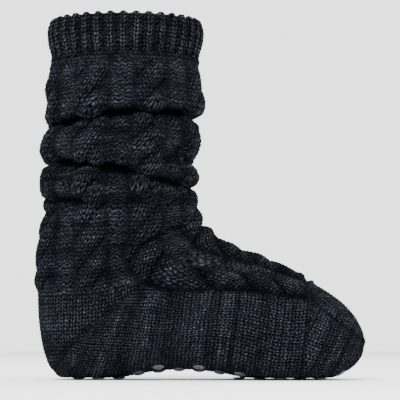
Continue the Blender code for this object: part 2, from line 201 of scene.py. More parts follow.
# Pieces of the leg, each from its first ring down to its last
CUFF_START = 248.0
LEG_PIECES = (
    ("knit_leg_upper", CUFF_START, 190.0), ("knit_leg_folds", 190.0, 150.0), ("knit_leg_lower", 150.0, 125.0),
)
ANKLE = 125.0
FOOT_START = 60.0

# Loose fibres, in metres: depth of a root in the yarn, lowest root and lowest point
FIBRE_SUNK = 0.0002
LOWEST_ROOT = 0.006
LOWEST_FIBRE = 0.0004

# Lamps: name, place, power in watts, width in metres
LAMPS = (
    ("key", (-0.5, -1.1, 1.6), 60.0, 0.9),
    ("fill", (1.2, -1.1, 0.7), 12.0, 1.2),
    ("back", (0.3, 1.3, 1.3), 20.0, 1.0),
)
LAMP_AIM = (0.0, 0.0, 0.13)
SKY_STRENGTH = 2.6
CAMERA_AWAY = 1.5
CAMERA_HEIGHT = 0.03
VIEW_WIDTH = 0.312
SENSOR = 36.0


def spline(knots, values, at):
    """Smooth values at each place, through every row of a table whose knots rise."""
    knots = np.asarray(knots, float)
    values = np.asarray(values, float)
    slopes = np.gradient(values, knots, axis=0)
    at = np.clip(np.asarray(at, float), knots[0], knots[-1])
    row = np.clip(np.searchsorted(knots, at, side="right") - 1, 0, len(knots) - 2)
    span = knots[row + 1] - knots[row]
    t = (at - knots[row]) / span
    extra = values.ndim - 1
    t = t.reshape(t.shape + (1,) * extra)
    span = span.reshape(span.shape + (1,) * extra)
    rise = (3.0 - 2.0 * t) * t * t
    start = t * (1.0 - t) ** 2 * span
    end = t * t * (t - 1.0) * span
    low, high = values[row], values[row + 1]
    return low + (high - low) * rise + slopes[row] * start + slopes[row + 1] * end


def smooth(low, high, value):
    """An even step from 0 at low to 1 at high."""
    t = np.clip((value - low) / (high - low), 0.0, 1.0)
    return t * t * (3.0 - 2.0 * t)


def hump(away, width):
    """A bell-shaped rise of height 1 over a place."""
    return np.exp(-((away / width) ** 2))


def around(eighths, turn):
    """Values at each eighth of a turn, smoothed right round the sock."""
    return spline(np.arange(-8, 16) / 8.0, np.array(eighths * 3, float), np.mod(turn, 1.0))


def loose(w, c, seed, cells=127):
    """An uneven offset from one cell to the next, between -1 and 1, that comes again after so many cells."""
    rows = 131
    table = np.random.default_rng(seed).uniform(-1.0, 1.0, (cells, rows))
    i, j = np.floor(w).astype(int), np.floor(c).astype(int)
    s, t = w - i, c - j
    s, t = s * s * (3.0 - 2.0 * s), t * t * (3.0 - 2.0 * t)
    near = table[i % cells, j % rows] * (1.0 - s) + table[(i + 1) % cells, j % rows] * s
    far = table[i % cells, (j + 1) % rows] * (1.0 - s) + table[(i + 1) % cells, (j + 1) % rows] * s
    return near * (1.0 - t) + far * t


def sway(courses, wale, seed, reach):
    """Slow, uneven swelling and crumpling of cloth, about one unit high."""
    rng = np.random.default_rng(seed)
    total = np.zeros(np.broadcast(courses, wale).shape)
    for _ in range(14):
        around_count = rng.integers(1, 9)
        length = reach * rng.uniform(0.6, 1.8)
        phase = rng.uniform(0.0, 2.0 * math.pi, 2)
        total += np.sin(2.0 * math.pi * (around_count * wale / WALES) + phase[0]) * np.sin(
            2.0 * math.pi * courses / length + phase[1] + 1.3 * np.sin(wale * 0.3 + phase[0])
        )
    return total / 3.5


def ring_table():
    """All rings in one table, from the end of the toe to the top of the cuff."""
    rows = []
    for height, depth, half_width, shift in LEG_RINGS:
        centre = LEG_CENTRE + shift
        rows.append((
            height, centre - depth / 2, height, centre + depth / 2, height, half_width,
            0.5, LEG_FULLNESS, LEG_FULLNESS, 0.0,
        ))
    rows += FOOT_RINGS
    return np.array(rows[::-1], float)


def half_section(depth, half_width, widest, full, sole_full, shares):
    """Half of a ring, from its top to its sole, as distance along its depth and out to the side."""
    turn = np.linspace(0.0, 0.5 * math.pi, 121)
    sine, cosine = np.sin(turn), np.cos(turn)
    top = np.stack([
        widest * depth * (1.0 - cosine ** (2.0 / full)),
        half_width * sine ** (2.0 / full),
    ], axis=1)
    low = np.stack([
        widest * depth + (1.0 - widest) * depth * sine ** (2.0 / sole_full),
        half_width * cosine ** (2.0 / sole_full),
    ], axis=1)
    line = np.vstack([top, low[1:]])
    length = np.concatenate([[0.0], np.cumsum(np.linalg.norm(np.diff(line, axis=0), axis=1))])
    at = shares * length[-1]
    return np.interp(at, length, line[:, 0]), np.interp(at, length, line[:, 1]), length[-1]


def wale_shares(turn, course):
    """Where each wale lies on the half ring. The cabled front draws in along the foot."""
    wale = turn / HALF_ROUND
    panel = np.interp(course, PANEL_AT, PANEL_SHARE)
    return np.where(wale < 0.5, wale * 2.0 * panel, panel + (wale - 0.5) * 2.0 * (1.0 - panel))


def base_grid(courses):
    """The smooth form without folds, in millimetres, and each ring's half girth."""
    table = ring_table()
    rings = spline(table[:, 0], table[:, 1:], courses)
    turn = np.minimum(COLUMN_WALES, WALES - COLUMN_WALES)
    side = np.where(COLUMN_WALES <= HALF_ROUND, -1.0, 1.0)
    grid = np.empty((len(courses), COLUMNS, 3))
    girths = np.empty(len(courses))
    half = COLUMNS // 2
    index = np.concatenate([np.arange(half + 1), np.arange(half - 1, 0, -1)])
    for i, (course, ring) in enumerate(zip(courses, rings)):
        sole_x, sole_z, top_x, top_z, half_width, widest, full, sole_full, bow = ring
        down = np.array([sole_x - top_x, sole_z - top_z])
        depth = np.linalg.norm(down)
        down /= depth
        shares = wale_shares(turn[:half + 1], course)
        along, out, girths[i] = half_section(depth, half_width, widest, full, sole_full, shares)
        along, out = along[index], out[index]
        lift = bow * out / half_width
        grid[i, :, 0] = top_x + down[0] * along + down[1] * lift
        grid[i, :, 1] = side * out
        grid[i, :, 2] = top_z + down[1] * along - down[0] * lift
    return grid, girths


def normals_of(grid):
    """Outward unit normals of a grid of rings."""
    around_step = np.roll(grid, -1, axis=1) - np.roll(grid, 1, axis=1)
    along_step = np.gradient(grid, axis=0)
    normal = np.cross(around_step, along_step)
    length = np.linalg.norm(normal, axis=2, keepdims=True)
    return normal / np.maximum(length, 1e-9)


def fold_offset(courses, turn):
    """How far the slouch folds push the knit out, in millimetres."""
    push = np.zeros(np.broadcast(courses, turn).shape)
    for half_width, at, depths in FOLDS:
        push -= around(depths, turn) * hump(courses - around(at, turn), half_width)
    return push


def row_courses(sizes):
    """Rings of the grid's rows, so that rows lie evenly along the folded knit."""
    probe = np.arange(TOP_RING, -0.01, -0.3)
    probe[-1] = 0.0
    base, _ = base_grid(probe)
    push = fold_offset(probe[:, None], COLUMN_WALES / WALES)
    folded = base + push[..., None] * normals_of(base)
    steps = np.linalg.norm(np.diff(folded[:, ::12], axis=0), axis=2)
    walked = np.concatenate([[0.0], np.cumsum(np.percentile(steps, 80, axis=1))])
    count = int(walked[-1] / (sizes.row_step / MM)) + 1
    return np.interp(np.linspace(0.0, walked[-1], count), walked, probe)


def panel_courses(courses, base):
    """Courses counted down the front from the cuff, which fan out round the ankle."""
    steps = np.linalg.norm(np.gradient(base, axis=0), axis=2)
    fan = (smooth(FAN_TOP, FAN_TOP - 8.0, courses) * smooth(FAN_END, FAN_END + 10.0, courses))[:, None]
    bunched = steps[:, :1] * (1.0 + 0.45 * fan) + 0.55 * fan * (steps - steps[:, :1])
    upright = np.abs(np.gradient(courses))[:, None]
    return np.cumsum(np.where(courses[:, None] > FAN_TOP, upright, bunched), axis=0) / COURSE


def body_map(knit, courses, base, girths):
    """Wales and courses behind the panel: level ones round the heel, upright ones round the foot."""
    x, z = base[..., 0], base[..., 2]
    y = np.abs(base[..., 1])
    end = int(np.argmin(np.abs(courses - LEG_END)))
    start = knit.panel_course[end][None, :]
    leaning = np.interp(z, HEEL_LEAN_AT, HEEL_LEAN) * np.log1p(np.exp((x - HEEL_BEND) / 8.0)) * 8.0
    knit.height = z - leaning
    heel_course = start + (knit.height[end][None, :] - knit.height) / COURSE
    angle = np.arctan2(y / ANKLE_HALF_WIDTH, (LEG_CENTRE - x) / ANKLE_HALF_DEPTH)
    heel_turn = HALF_ROUND - HALF_ROUND * angle / math.pi
    drift = knit.turn[end] - heel_turn[end]
    heel_turn = heel_turn + drift[None, :] * smooth(60.0, 128.0, z)

    # Where each point's course meets the sole decides its lean, so this closes in on both
    sole_x = x.copy()
    for _ in range(14):
        sole_x = 0.4 * sole_x + 0.6 * (x - np.interp(sole_x, LEAN_AT, LEAN) * z)
    foot_course = start.min() + 14.0 + sole_x / COURSE
    sole_distance = girths[:, None] - knit.share * girths[:, None]
    heel_angle = np.arctan2(y / HEEL_HALF_WIDTH, (HEEL_CENTRE - z) / HEEL_CENTRE)
    under_heel = HALF_ROUND - heel_angle * HEEL_RADIUS / FOOT_WALE
    foot_turn = HALF_ROUND - sole_distance / FOOT_WALE
    foot_turn = under_heel + (foot_turn - under_heel) * (1.0 - smooth(52.0, 76.0, knit.ring))

    turn = np.where(knit.heel, heel_turn, foot_turn)
    course = np.where(knit.heel, heel_course, foot_course)
    return np.where(knit.on_leg, knit.turn, turn), np.where(knit.on_leg, knit.panel_course, course)


def toe_wales(knit, courses, girths):
    """Wales of the toe, which close up towards its end and meet in a line on each side."""
    seam_girth = girths[int(np.argmin(np.abs(courses - SEAM_COURSE)))]
    closer = np.minimum(girths / seam_girth, 1.0)[:, None] ** 0.35
    return np.where(
        knit.share < knit.gore, 0.5 + TOE_TOP_WALES * closer * knit.share / knit.gore,
        HALF_ROUND - TOE_SOLE_WALES * closer * (1.0 - knit.share) / (1.0 - knit.gore),
    )


def cables(knit, w, c):
    """The cables' places, lens-shaped crossings and height, and how far their wales slant."""
    made = SimpleNamespace()
    q = (np.mod(w, REPEAT) - 0.5 * REPEAT) / HALF_CABLE
    made.off_middle = np.abs(q)
    made.inside = smooth(1.22, 0.86, made.off_middle) * knit.cabled * (1.0 - knit.cuff)
    made.narrow = smooth(118.0, 92.0, knit.ring)
    period = CABLE_PERIOD + (FOOT_CABLE_PERIOD - CABLE_PERIOD) * made.narrow[:, :1]
    steps = np.diff(knit.panel_course, axis=0, prepend=knit.panel_course[:1])
    panel_phase = knit.panel_course[:1] / CABLE_PERIOD + np.cumsum(steps / period, axis=0)
    phase = np.where(knit.in_panel | knit.on_leg, panel_phase, c / CABLE_PERIOD)
    lens_at = phase - 0.55 * q
    lens = np.abs(np.cos(math.pi * lens_at)) ** (0.6 + 0.5 * made.narrow)
    made.lens = lens * np.sqrt(np.maximum(0.0, 1.0 - np.minimum(made.off_middle, 1.0) ** 2.6))
    heel_fade = smooth(HEEL_TOP, HEEL_TOP + 12.0, knit.height)
    fade = np.where(knit.in_panel, smooth(15.8, 22.0, knit.ring), heel_fade)
    made.fade = np.where(knit.on_leg, 1.0, fade) * smooth(249.0, 236.0, knit.ring)
    made.rise = made.inside * made.fade * (1.0 - 0.5 * made.narrow + 4.4 * made.lens)
    made.slant = made.inside * 0.42 * period * (phase - np.round(lens_at))
    return made


def paint_light_and_shade(knit, cable, w, c, ridge, ribbed):
    """Painted light and shade for the yarn's colour, by how much light reaches the loops: lighter on ribs and
    crossings, darker in grooves and seams.
    """
    # Painted highlight on the cuff's rib ridges, and painted shade in the rib valleys
    cuff_highlight_and_shade = 1.0 + 0.72 * knit.cuff * ridge - 0.82 * ribbed * (1.0 - ridge) ** 0.8
    # Painted shade in the cable grooves between the crossings
    grooves = (1.0 - cable.lens) ** (1.6 - 0.5 * cable.narrow)
    painted_lit = cuff_highlight_and_shade * (1.0 - (0.85 + 0.1 * cable.narrow) * cable.inside * cable.fade * grooves)
    # Painted shade, of uneven strength, in the gutters beside each cable
    gutter_shade_amount = 0.30 + 0.30 * loose(w / 3.0, c / 3.0, 13)
    painted_lit = painted_lit * (1.0 - gutter_shade_amount * cable.fade * hump(cable.off_middle - 1.12, 0.16) * knit.cabled)
    # Painted shade over the recessed purl between the cables
    painted_lit = painted_lit * (1.0 - 0.45 * knit.cabled * (1.0 - cable.inside) * (1.0 - knit.cuff))
    # Painted shade along the panel's edge and in the heel and toe gore lines
    return painted_lit * (1.0 - 0.5 * knit.edge) * (1.0 - 0.45 * knit.heel_line) * (1.0 - 0.8 * knit.toe_line)


def knit_plan(courses, base, girths):
    """Where every point lies in the knit, what is purled, and the height of ribs and cables."""
    wale = COLUMN_WALES[None, :]
    knit = SimpleNamespace()
    knit.turn = np.minimum(wale, WALES - wale) + 0.0 * courses[:, None]
    knit.ring = courses[:, None] + 0.0 * wale
    knit.share = wale_shares(knit.turn, knit.ring)
    knit.panel_course = panel_courses(courses, base)
    knit.on_leg = knit.ring > LEG_END
    knit.heel = knit.ring > HEEL_TURN
    knit.toe = knit.ring < SEAM_COURSE
    knit.in_panel = (knit.turn <= EAR) & ~knit.toe
    knit.cuff = smooth(CUFF_FULL - 2.0, CUFF_FULL, knit.ring)
    body_turn, body_course = body_map(knit, courses, base, girths)

    knit.gore = PANEL_SHARE[1] + 0.19 * (1.0 - knit.ring / SEAM_COURSE)
    toe_turn = toe_wales(knit, courses, girths)
    drawn_in = knit.turn * (1.0 - 0.085 * smooth(128.0, 96.0, knit.ring))
    w = np.where(knit.in_panel, drawn_in, np.where(knit.toe, toe_turn, body_turn))
    c = np.where(knit.in_panel | knit.toe, knit.panel_course, body_course)

    above_heel = knit.heel & (knit.height > HEEL_TOP)
    knit.cabled = (knit.in_panel | above_heel | knit.on_leg) & ~knit.toe
    cable = cables(knit, w, c)
    ridge = 0.5 + 0.5 * np.cos(math.pi * w)
    ribbed = smooth(244.0, 251.0, knit.ring)
    rib = ribbed * 2.9 * (ridge ** 1.2 - 0.5 * knit.cuff)
    knit.macro = rib + cable.rise
    purl = knit.cabled * (1.0 - cable.inside) * (1.0 - knit.cuff) + knit.cuff * (np.cos(math.pi * w) < -0.1)
    knit.purl = np.clip(purl, 0.0, 1.0)

    knit.heel_line = (knit.turn > EAR) * hump(knit.ring - HEEL_TURN, 1.3)
    knit.toe_line = knit.toe * hump((knit.share - knit.gore) * girths[:, None], 1.6)
    panel_end = smooth(100.0, 70.0, knit.ring) * smooth(14.0, 18.0, knit.ring)
    knit.edge = hump(knit.turn - EAR, 0.55) * panel_end
    # Painted light and shade of the knit, to be multiplied into the yarn's colour
    painted_lit = paint_light_and_shade(knit, cable, w, c, ridge, ribbed)

    knit.w = w - cable.slant + 0.5 * (knit.cuff > 0.5)
    ease = np.where(purl > 0.5, 0.34, 0.15)
    knit.c = c + ease * loose(knit.w, c, 3)
    knit.w = knit.w + 0.6 * ease * loose(knit.w, knit.c, 5)
    # Painted light, varied at random from place to place
    knit.open = painted_lit * (1.0 + 0.25 * loose(knit.w, knit.c, 9))
    knit.uv_w = np.where(wale > HALF_ROUND, WALES - knit.w, knit.w)
    return knit


def stitch_height(w, c, purl):
    """Height of one knitted loop from 0 to 1: a V on the face, a wavy bar on the back."""
    a = np.abs(2.0 * np.mod(w, 1.0) - 1.0)
    p = np.mod(c + LOOP_SLANT * a, 1.0)
    loop = np.sin(math.pi * p) ** 0.8 * np.sin(math.pi * np.clip(a, 0.02, 0.98)) ** 0.5
    wave = BAR_WAVE * np.cos(2.0 * math.pi * w)
    bar = np.sin(math.pi * np.mod(c + 0.5 + wave, 1.0)) ** 0.8
    return loop * (1.0 - purl) + bar * purl


def cloth_push(courses, cuff):
    """How far folds, crumples and puckers push the knit out, and how deep its dimples are."""
    wale = COLUMN_WALES[None, :]
    ring = courses[:, None]
    push = fold_offset(ring, wale / WALES)
    crumple = sway(ring, wale, 7, 38.0) * 0.7 + sway(ring, wale, 11, 14.0) * 0.35
    calm = 0.35 + 0.65 * smooth(90.0, 140.0, courses)[:, None]
    push = push + crumple * calm * (1.0 - 0.8 * cuff)
    staggered = ring / PUCKER_RINGS + 0.4 * np.sin(2.0 * math.pi * wale / REPEAT)
    bumps = loose(wale / PUCKER_WALES, staggered, 21, WALES // PUCKER_WALES)
    dimple = smooth(0.25, 0.80, -bumps)
    slack = smooth(118.0, 150.0, ring) * smooth(248.0, 232.0, ring)
    push = push + slack * (PUCKER_SWELL * bumps - PUCKER_SINK * dimple)
    collar = np.clip((ring - COLLAR_START) / (TOP_RING - COLLAR_START), 0.0, 1.0)
    return push - COLLAR_TURN * collar ** 2, slack * dimple


def hung(courses, base, push, fold_sag):
    """The smooth form and its normals, taken from lower down where a roll hangs over."""
    normal = normals_of(base)
    reach = smooth(105.0, 125.0, courses) * smooth(250.0, 235.0, courses)
    aim = courses[:, None] - fold_sag * push * reach[:, None]
    rising = courses[::-1]
    moved, turned = np.empty_like(base), np.empty_like(base)
    for j in range(COLUMNS):
        for k in range(3):
            moved[:, j, k] = np.interp(aim[:, j], rising, base[::-1, j, k])
            turned[:, j, k] = np.interp(aim[:, j], rising, normal[::-1, j, k])
    return moved, turned


@cache
def skin():
    """The whole outer knit as one grid of points, made once and cut into pieces."""
    sizes = bpy.context.scene.sock_sizes
    courses = row_courses(sizes)
    base, girths = base_grid(courses)
    knit = knit_plan(courses, base, girths)
    push, dimple = cloth_push(courses, knit.cuff)
    moved, turned = hung(courses, base, push, sizes.fold_sag)
    points = moved + push[..., None] * turned

    top_half = smooth(EAR + 2.0, EAR - 1.0, knit.turn)
    past_seam = knit.ring - SEAM_COURSE
    seam = sizes.seam_rise / MM * hump(past_seam, 0.9) - 1.1 * hump(past_seam - 2.6, 1.3)
    gores = np.maximum(knit.heel_line, knit.toe_line)
    tight = np.clip(1.0 + push / 15.0, 0.6, 1.0)
    macro = knit.macro * tight + seam * top_half - 0.7 * gores - 1.3 * knit.edge
    # Painted shade in the folds' creases and in the puckers' dimples
    knit.open = knit.open * (1.0 - 0.93 * smooth(2.6, 7.5, -push)) * (1.0 - 0.30 * dimple)
    # Painted shade in the hollow behind the toe seam's ridge, on the top half
    knit.open = knit.open * (1.0 - 0.6 * hump(past_seam - 2.4, 1.2) * top_half)
    points = points + macro[..., None] * normals_of(points)
    height = stitch_height(knit.w, knit.c, knit.purl) - 0.5
    height = height * sizes.stitch_rise / MM
    points = points + height[..., None] * normals_of(points)
    points[..., 2] = np.maximum(points[..., 2], SOLE_LEVEL + 0.25 * (height + 0.5))

    rim, rim_values = rim_rows(points, knit, sizes)
    cap, cap_values = cap_rows(points, knit)
    whole = to_frame(np.concatenate([rim, points, cap], axis=0))
    values = {
        key: np.concatenate([rim_values[key], getattr(knit, key), cap_values[key]], axis=0)
        for key in ("uv_w", "c", "purl", "open")
    }
    return SimpleNamespace(
        points=whole, normals=normals_of(whole),
        courses=np.concatenate([np.full(len(rim), RIM_RING), courses, np.full(len(cap), CAP_RING)]),
        uv=np.stack([values["uv_w"], values["c"]], axis=2),
        values={"purl": values["purl"], "open": values["open"]},
        form=(moved, turned, push, courses),
    )


def to_frame(points):
    """Points in millimetres from the heel, moved to metres in the CAD frame."""
    points = points * MM
    points[..., 0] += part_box("sock_knit")[1].x - TOE_END * MM
    return points


def rim_rows(points, knit, sizes):
    """The collar's edge, where the ribs roll over into the lining. First row innermost."""
    radius = 0.5 * sizes.wall / MM
    edge = points[0]
    inward = edge.mean(axis=0) - edge
    inward[:, 2] = 0.0
    inward /= np.linalg.norm(inward, axis=1)[:, None]
    crown = 0.45 * np.cos(math.pi * COLUMN_WALES)
    rows, courses = [], []
    for angle in np.linspace(math.pi, 0.0, 11)[:-1]:
        row = edge + inward * radius * (1.0 - math.cos(angle))
        row = row + inward * (knit.macro[0] * 0.5 * (1.0 - math.cos(angle)))[:, None]
        row[:, 2] += (radius + crown) * math.sin(angle)
        rows.append(row)
        courses.append(knit.c[0] - angle * radius / COURSE)
    values = {key: np.repeat(getattr(knit, key)[:1], len(rows), axis=0) for key in ("uv_w", "purl", "open")}
    values["c"] = np.array(courses)
    return np.array(rows), values


def cap_rows(points, knit):
    """Closes the toe's last ring onto a short level line."""
    last = points[-1]
    partner = np.mod(COLUMNS // 2 - np.arange(COLUMNS), COLUMNS)
    middle = 0.5 * (last + last[partner])
    angles = np.linspace(0.0, 0.5 * math.pi, 7)[1:]
    rows = []
    for angle in angles:
        row = middle + (last - middle) * math.cos(angle)
        row[:, 0] = last[:, 0] + 0.9 * math.sin(angle) + (middle[:, 0] - last[:, 0]) * math.sin(angle)
        rows.append(row)
    values = {
        "uv_w": np.repeat(knit.uv_w[-1:], len(rows), axis=0), "c": knit.c[-1:] + angles[:, None] * 0.9,
        "purl": np.zeros((len(rows), COLUMNS)), "open": np.ones((len(rows), COLUMNS)),
    }
    return np.array(rows), values


def sheet_mesh(name, grid, normal, uv, values, closed):
    """A mesh of quads over a grid, with its map, and named values and normals for each point."""
    n, m = grid.shape[:2]
    across = m if closed else m - 1
    i, j = np.meshgrid(np.arange(n - 1), np.arange(across), indexing="ij")
    k = (j + 1) % m
    corners = np.stack([i * m + j, i * m + k, (i + 1) * m + k, (i + 1) * m + j], axis=-1)
    corners = corners.reshape(-1, 4)
    mesh = plain_mesh(name, grid, corners)
    layer = mesh.uv_layers.new(name="knit")
    picked = uv.reshape(-1, 2)[corners].copy()
    wrapped = np.abs(picked[:, 1:3, 0] - picked[:, (0, 3), 0]) > HALF_ROUND
    picked[:, 1:3, 0] += np.where(wrapped, WALES, 0.0)
    # A quad across a jump in the pattern takes the pattern of its first corner
    jump = ((picked.max(axis=1) - picked.min(axis=1)) > 1.2).any(axis=1)
    wide, tall = 1 / STEPS, 0.26
    picked[jump] = picked[jump, :1] + np.array([(0.0, 0.0), (wide, 0.0), (wide, tall), (0.0, tall)])
    layer.data.foreach_set("uv", picked.reshape(-1).astype(np.float32))
    for key, numbers in values.items():
        layer = mesh.attributes.new(key, "FLOAT", "POINT")
        layer.data.foreach_set("value", numbers.reshape(-1).astype(np.float32))
    mesh.shade_smooth()
    mesh.normals_split_custom_set_from_vertices(normal.reshape(-1, 3).astype(np.float32))
    return mesh


def plain_mesh(name, points, corners):
    """A mesh from points and the corners of its faces, which all have as many."""
    mesh = bpy.data.meshes.new(name)
    mesh.vertices.add(points.size // 3)
    mesh.vertices.foreach_set("co", points.reshape(-1).astype(np.float32))
    mesh.loops.add(corners.size)
    mesh.loops.foreach_set("vertex_index", corners.reshape(-1).astype(np.int32))
    mesh.polygons.add(len(corners))
    mesh.polygons.foreach_set("loop_start", np.arange(0, corners.size, corners.shape[1], dtype=np.int32))
    mesh.update(calc_edges=True)
    mesh.validate()
    return mesh


def yarn_piece(name, mesh, finish):
    """An object for a finished mesh of yarn, on the sock's one body."""
    obj = bpy.data.objects.new(name, mesh)
    bpy.context.scene.collection.objects.link(obj)
    mesh.materials.append(finish)
    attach(obj, "root")
    return obj


def knit_piece(name, first, last, columns=ALL_ROUND):
    """A piece of the knit between two rings and over some columns, with the whole knit's normals."""
    made = skin()
    rows = np.nonzero((made.courses <= first) & (made.courses >= last))[0]
    cut = slice(rows[0], min(rows[-1] + 1, len(made.courses) - 1) + 1)
    values = {key: numbers[cut][:, columns] for key, numbers in made.values.items()}
    grid, normal, uv = (numbers[cut][:, columns] for numbers in (made.points, made.normals, made.uv))
    mesh = sheet_mesh(name, grid, normal, uv, values, len(columns) == COLUMNS)
    return yarn_piece(name, mesh, yarn_material())


def node(tree, kind, **settings):
    """A new node with its settings."""
    made = tree.nodes.new(kind)
    for key, value in settings.items():
        setattr(made, key, value)
    return made


def feed(tree, socket, value):
    """Sets a socket to a number or colour, or links it to another node's output."""
    if isinstance(value, (int, float)):
        socket.default_value = value
    elif isinstance(value, tuple):
        socket.default_value = (*value, 1.0)
    else:
        tree.links.new(value, socket)


def set_values(made, values):
    """Sets constant values on a node's own sockets."""
    for socket, value in values.items():
        made.inputs[socket].default_value = value


def calc(tree, operation, *values):
    """A math node on numbers or on other nodes' outputs."""
    made = node(tree, "ShaderNodeMath", operation=operation)
    for socket, value in zip(made.inputs, values):
        feed(tree, socket, value)
    return made.outputs[0]


def arch(tree, value):
    """Rises from 0 to 1 and falls again as a value goes from 0 to 1."""
    return calc(tree, "SINE", calc(tree, "MULTIPLY", value, math.pi))


def mixed(tree, factor, first, second, blend="MIX"):
    """A colour mixed or blended from two."""
    made = node(tree, "ShaderNodeMix", data_type="RGBA", blend_type=blend)
    for socket, value in ((made.inputs[0], factor), (made.inputs[6], first), (made.inputs[7], second)):
        feed(tree, socket, value)
    return made.outputs[2]


def noise(tree, vector, scale, detail=2.0, roughness=0.5, dimensions="3D"):
    """Soft noise over a place, or along one number."""
    made = node(tree, "ShaderNodeTexNoise", noise_dimensions=dimensions)
    tree.links.new(vector, made.inputs["W" if dimensions == "1D" else "Vector"])
    set_values(made, {"Scale": scale, "Detail": detail, "Roughness": roughness})
    return made.outputs["Fac"]


def ramp(tree, value, low, high):
    """A value stretched so that low becomes 0 and high becomes 1."""
    made = node(tree, "ShaderNodeMapRange")
    tree.links.new(value, made.inputs[0])
    set_values(made, {1: low, 2: high})
    return made.outputs[0]


def place_of(tree):
    """A point's place on the object."""
    return node(tree, "ShaderNodeTexCoord").outputs["Object"]


def bumped(tree, shader, relief, strength, distance):
    """Gives the shader a relief."""
    bump = node(tree, "ShaderNodeBump")
    set_values(bump, {"Strength": strength, "Distance": distance})
    tree.links.new(relief, bump.inputs["Height"])
    tree.links.new(bump.outputs[0], shader.inputs["Normal"])


def new_material(name):
    """A new material, its node tree and its shader."""
    made = bpy.data.materials.new(name)
    made.use_nodes = True
    return made, made.node_tree, made.node_tree.nodes["Principled BSDF"]


def loop_finish(tree, w, c, purl, place):
    """Height of a knitted loop or purl bar from 0 to 1, and how near its wale's edge a point is."""
    edge = calc(tree, "ABSOLUTE", calc(tree, "MULTIPLY_ADD", calc(tree, "FRACT", w), 2.0, -1.0))
    p = calc(tree, "FRACT", calc(tree, "MULTIPLY_ADD", edge, LOOP_SLANT, c))
    leg = arch(tree, p)
    cross = calc(tree, "POWER", calc(tree, "MAXIMUM", arch(tree, edge), 0.0), 1.5)
    loop = calc(tree, "MULTIPLY", calc(tree, "POWER", leg, 1.45), cross)
    wave = calc(tree, "COSINE", calc(tree, "MULTIPLY", w, 2.0 * math.pi))
    ragged = calc(tree, "MULTIPLY_ADD", noise(tree, place, 420.0), 0.9, -0.45)
    bar = calc(tree, "MULTIPLY_ADD", wave, BAR_WAVE, calc(tree, "ADD", c, ragged))
    bar = calc(tree, "FRACT", calc(tree, "ADD", bar, 0.5))
    bar = calc(tree, "POWER", arch(tree, bar), 1.6)
    height = node(tree, "ShaderNodeMix", data_type="FLOAT")
    for socket, value in ((0, purl), (2, loop), (3, bar)):
        tree.links.new(value, height.inputs[socket])
    return height.outputs[0], edge


def painted_loop_shade(tree, w, c, height, edge, purl, band, place):
    """Painted shade on the yarn: darker by the loop's height and at the wales' edges, where shade falls
    between loops, times the knit's painted light; also lighter or darker in bands, strands and clouds of the
    yarn's own tone.
    """
    strand = node(tree, "ShaderNodeCombineXYZ")
    tree.links.new(calc(tree, "MULTIPLY", w, 0.11), strand.inputs[0])
    tree.links.new(calc(tree, "MULTIPLY", c, 0.83), strand.inputs[1])
    course = ramp(tree, noise(tree, strand.outputs[0], 1.0, 1.0), 0.34, 0.66)
    cloud = ramp(tree, noise(tree, place, 95.0, 3.0, 0.6), 0.36, 0.64)
    # Painted shade in the grooves along the wales' edges, on knit but not on purl
    wale_edge_shade = calc(tree, "MULTIPLY", calc(tree, "POWER", edge, 3.0), calc(tree, "SUBTRACT", 1.0, purl))
    # Painted shade: the lower a point of the loop, the darker its colour
    loop_painted_shade = calc(tree, "MULTIPLY", height, 3.6)
    for value, gain, start in (
        (band, -0.82, 1.42), (course, 0.50, 0.78), (cloud, 0.62, 0.66), (wale_edge_shade, -0.50, 1.10),
    ):
        loop_painted_shade = calc(tree, "MULTIPLY", loop_painted_shade, calc(tree, "MULTIPLY_ADD", value, gain, start))
    # Painted light and shade of ribs, cables, folds and seams, from the mesh
    shade_attribute = node(tree, "ShaderNodeAttribute", attribute_name="open").outputs["Fac"]
    return calc(tree, "MULTIPLY", loop_painted_shade, shade_attribute)


def marl(tree, uv, place, band, look):
    """Dark and pale fibres spun together, with cooler and warmer patches."""
    fleck = ramp(tree, noise(tree, uv, 3.1, 4.0, 0.8), 0.49, 0.61)
    patch = ramp(tree, noise(tree, place, 980.0, 3.0, 0.8), 0.48, 0.59)
    light = calc(tree, "MULTIPLY_ADD", patch, 0.60, calc(tree, "MULTIPLY", fleck, 0.40))
    warm = ramp(tree, noise(tree, place, 72.0), 0.47, 0.62)
    dark = mixed(tree, band, tuple(look.dark), tuple(look.dark_warm))
    pale = mixed(tree, warm, tuple(look.pale), tuple(look.pale_warm))
    return mixed(tree, light, dark, pale)


